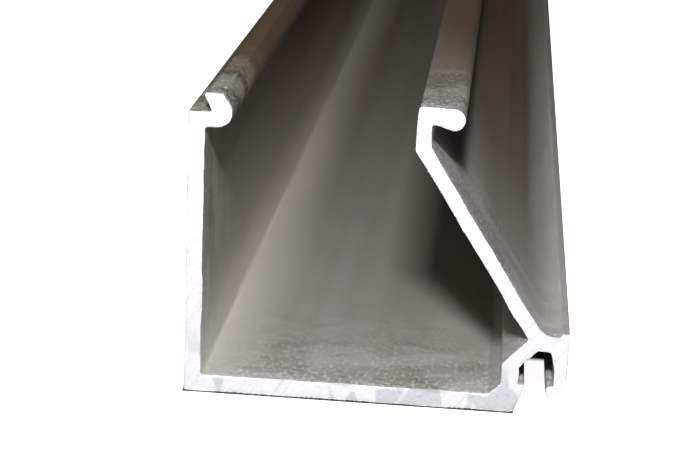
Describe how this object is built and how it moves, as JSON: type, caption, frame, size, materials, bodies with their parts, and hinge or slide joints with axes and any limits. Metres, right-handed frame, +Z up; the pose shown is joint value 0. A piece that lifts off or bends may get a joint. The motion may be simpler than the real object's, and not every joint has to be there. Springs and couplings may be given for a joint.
{
  "type": "aluminium extrusion profile",
  "caption": "Straight length of extruded aluminium edge channel with a clip hook, a beaded flange, a diagonal strut and a gasket slot along its foot.",
  "frame": {"origin": "bottom centre of the bounding box: the underside's plane, half way across the width and half way along the length", "axes": "+Y along the length, away from the saw-cut end that faces -Y; +Z up from the web's underside; +X from the tall left wall towards the gasket leg"},
  "size_m": [0.052, 1, 0.0416],
  "materials": {
    "aluminium": "mill finish, satin, with fine lines along the length and saw-cut ends"
  },
  "bodies": {
    "root": {"profile": "aluminium"}
  },
  "joints": []
}
